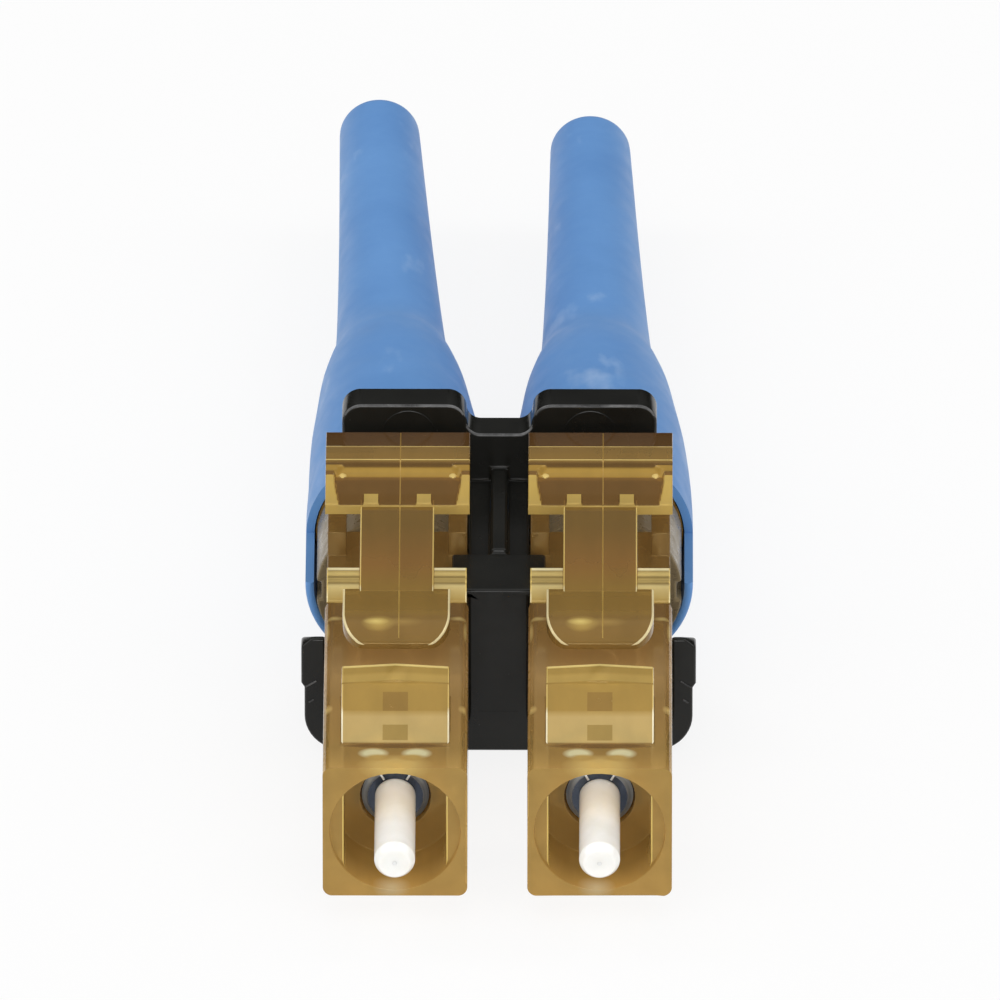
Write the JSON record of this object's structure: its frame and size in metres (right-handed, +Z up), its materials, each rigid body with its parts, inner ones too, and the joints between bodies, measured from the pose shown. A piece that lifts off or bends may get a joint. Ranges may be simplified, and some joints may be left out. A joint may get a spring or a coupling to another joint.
{
  "type": "lc fibre connector",
  "caption": "Duplex LC fibre plug: amber latched housings with white ferrules side by side in a black clip, cam clamps and slender blue strain-relief boots behind.",
  "frame": {"origin": "centre of the clip's flat base", "axes": "-Y the way the ferrules point and plug in, +Y along the boots, +Z up to the latches, X across the pair"},
  "size_m": [0.0122, 0.048, 0.008],
  "materials": {
    "amber_shell": "clear amber moulding",
    "amber_latch": "clear amber moulding",
    "white_ceramic": "ground ceramic",
    "fibre_glass": "polished",
    "nickel_holder": "bright nickel",
    "grey_plank": "moulded",
    "spring_wire": "drawn wire",
    "amber_backbone": "clear amber moulding",
    "smoke_cam": "smoky clear moulding",
    "crimp_metal": "pressed six-sided",
    "blue_boot": "soft matt",
    "black_clip": "gloss moulding"
  },
  "bodies": {
    "connector": {"duplex_clip": "black_clip", "housing_left": "amber_shell", "backbone_left": "amber_backbone", "spring_left": "spring_wire", "crimp_sleeve_left": "crimp_metal", "boot_left": "blue_boot", "housing_right": "amber_shell", "backbone_right": "amber_backbone", "spring_right": "spring_wire", "crimp_sleeve_right": "crimp_metal", "boot_right": "blue_boot"},
    "latch_arm_left": {"latch_left": "amber_latch"},
    "cam_ring_left": {"cam_left": "smoke_cam"},
    "ferrule_unit_left": {"ferrule_left": "white_ceramic", "fibre_stub_left": "fibre_glass", "ferrule_holder_left": "nickel_holder", "upper_plank_left": "grey_plank", "lower_plank_left": "grey_plank"},
    "latch_arm_right": {"latch_right": "amber_latch"},
    "cam_ring_right": {"cam_right": "smoke_cam"},
    "ferrule_unit_right": {"ferrule_right": "white_ceramic", "fibre_stub_right": "fibre_glass", "ferrule_holder_right": "nickel_holder", "upper_plank_right": "grey_plank", "lower_plank_right": "grey_plank"}
  },
  "joints": [
    {"name": "latch_press_left", "type": "hinge", "parent": "connector", "child": "latch_arm_left", "pos_m": [-0.00313, 0.0021, 0.00622], "axis": [1, 0, 0], "range_deg": [0, 2.5], "stiffness_Nm_per_rad": 0.004, "springref_deg": -1.15},
    {"name": "cam_turn_left", "type": "hinge", "parent": "connector", "child": "cam_ring_left", "pos_m": [-0.00313, 0.0019, 0.00317], "axis": [0, 1, 0], "range_deg": [0, 90]},
    {"name": "ferrule_float_left", "type": "slide", "parent": "connector", "child": "ferrule_unit_left", "axis": [0, 1, 0], "range_m": [0, 0.0005], "stiffness_N_per_m": 200, "springref_m": -0.002, "deforming": ["spring_left"]},
    {"name": "latch_press_right", "type": "hinge", "parent": "connector", "child": "latch_arm_right", "pos_m": [0.00313, 0.0021, 0.00622], "axis": [1, 0, 0], "range_deg": [0, 2.5], "stiffness_Nm_per_rad": 0.004, "springref_deg": -1.15},
    {"name": "cam_turn_right", "type": "hinge", "parent": "connector", "child": "cam_ring_right", "pos_m": [0.00313, 0.0019, 0.00317], "axis": [0, 1, 0], "range_deg": [0, 90]},
    {"name": "ferrule_float_right", "type": "slide", "parent": "connector", "child": "ferrule_unit_right", "axis": [0, 1, 0], "range_m": [0, 0.0005], "stiffness_N_per_m": 200, "springref_m": -0.002, "deforming": ["spring_right"]}
  ]
}
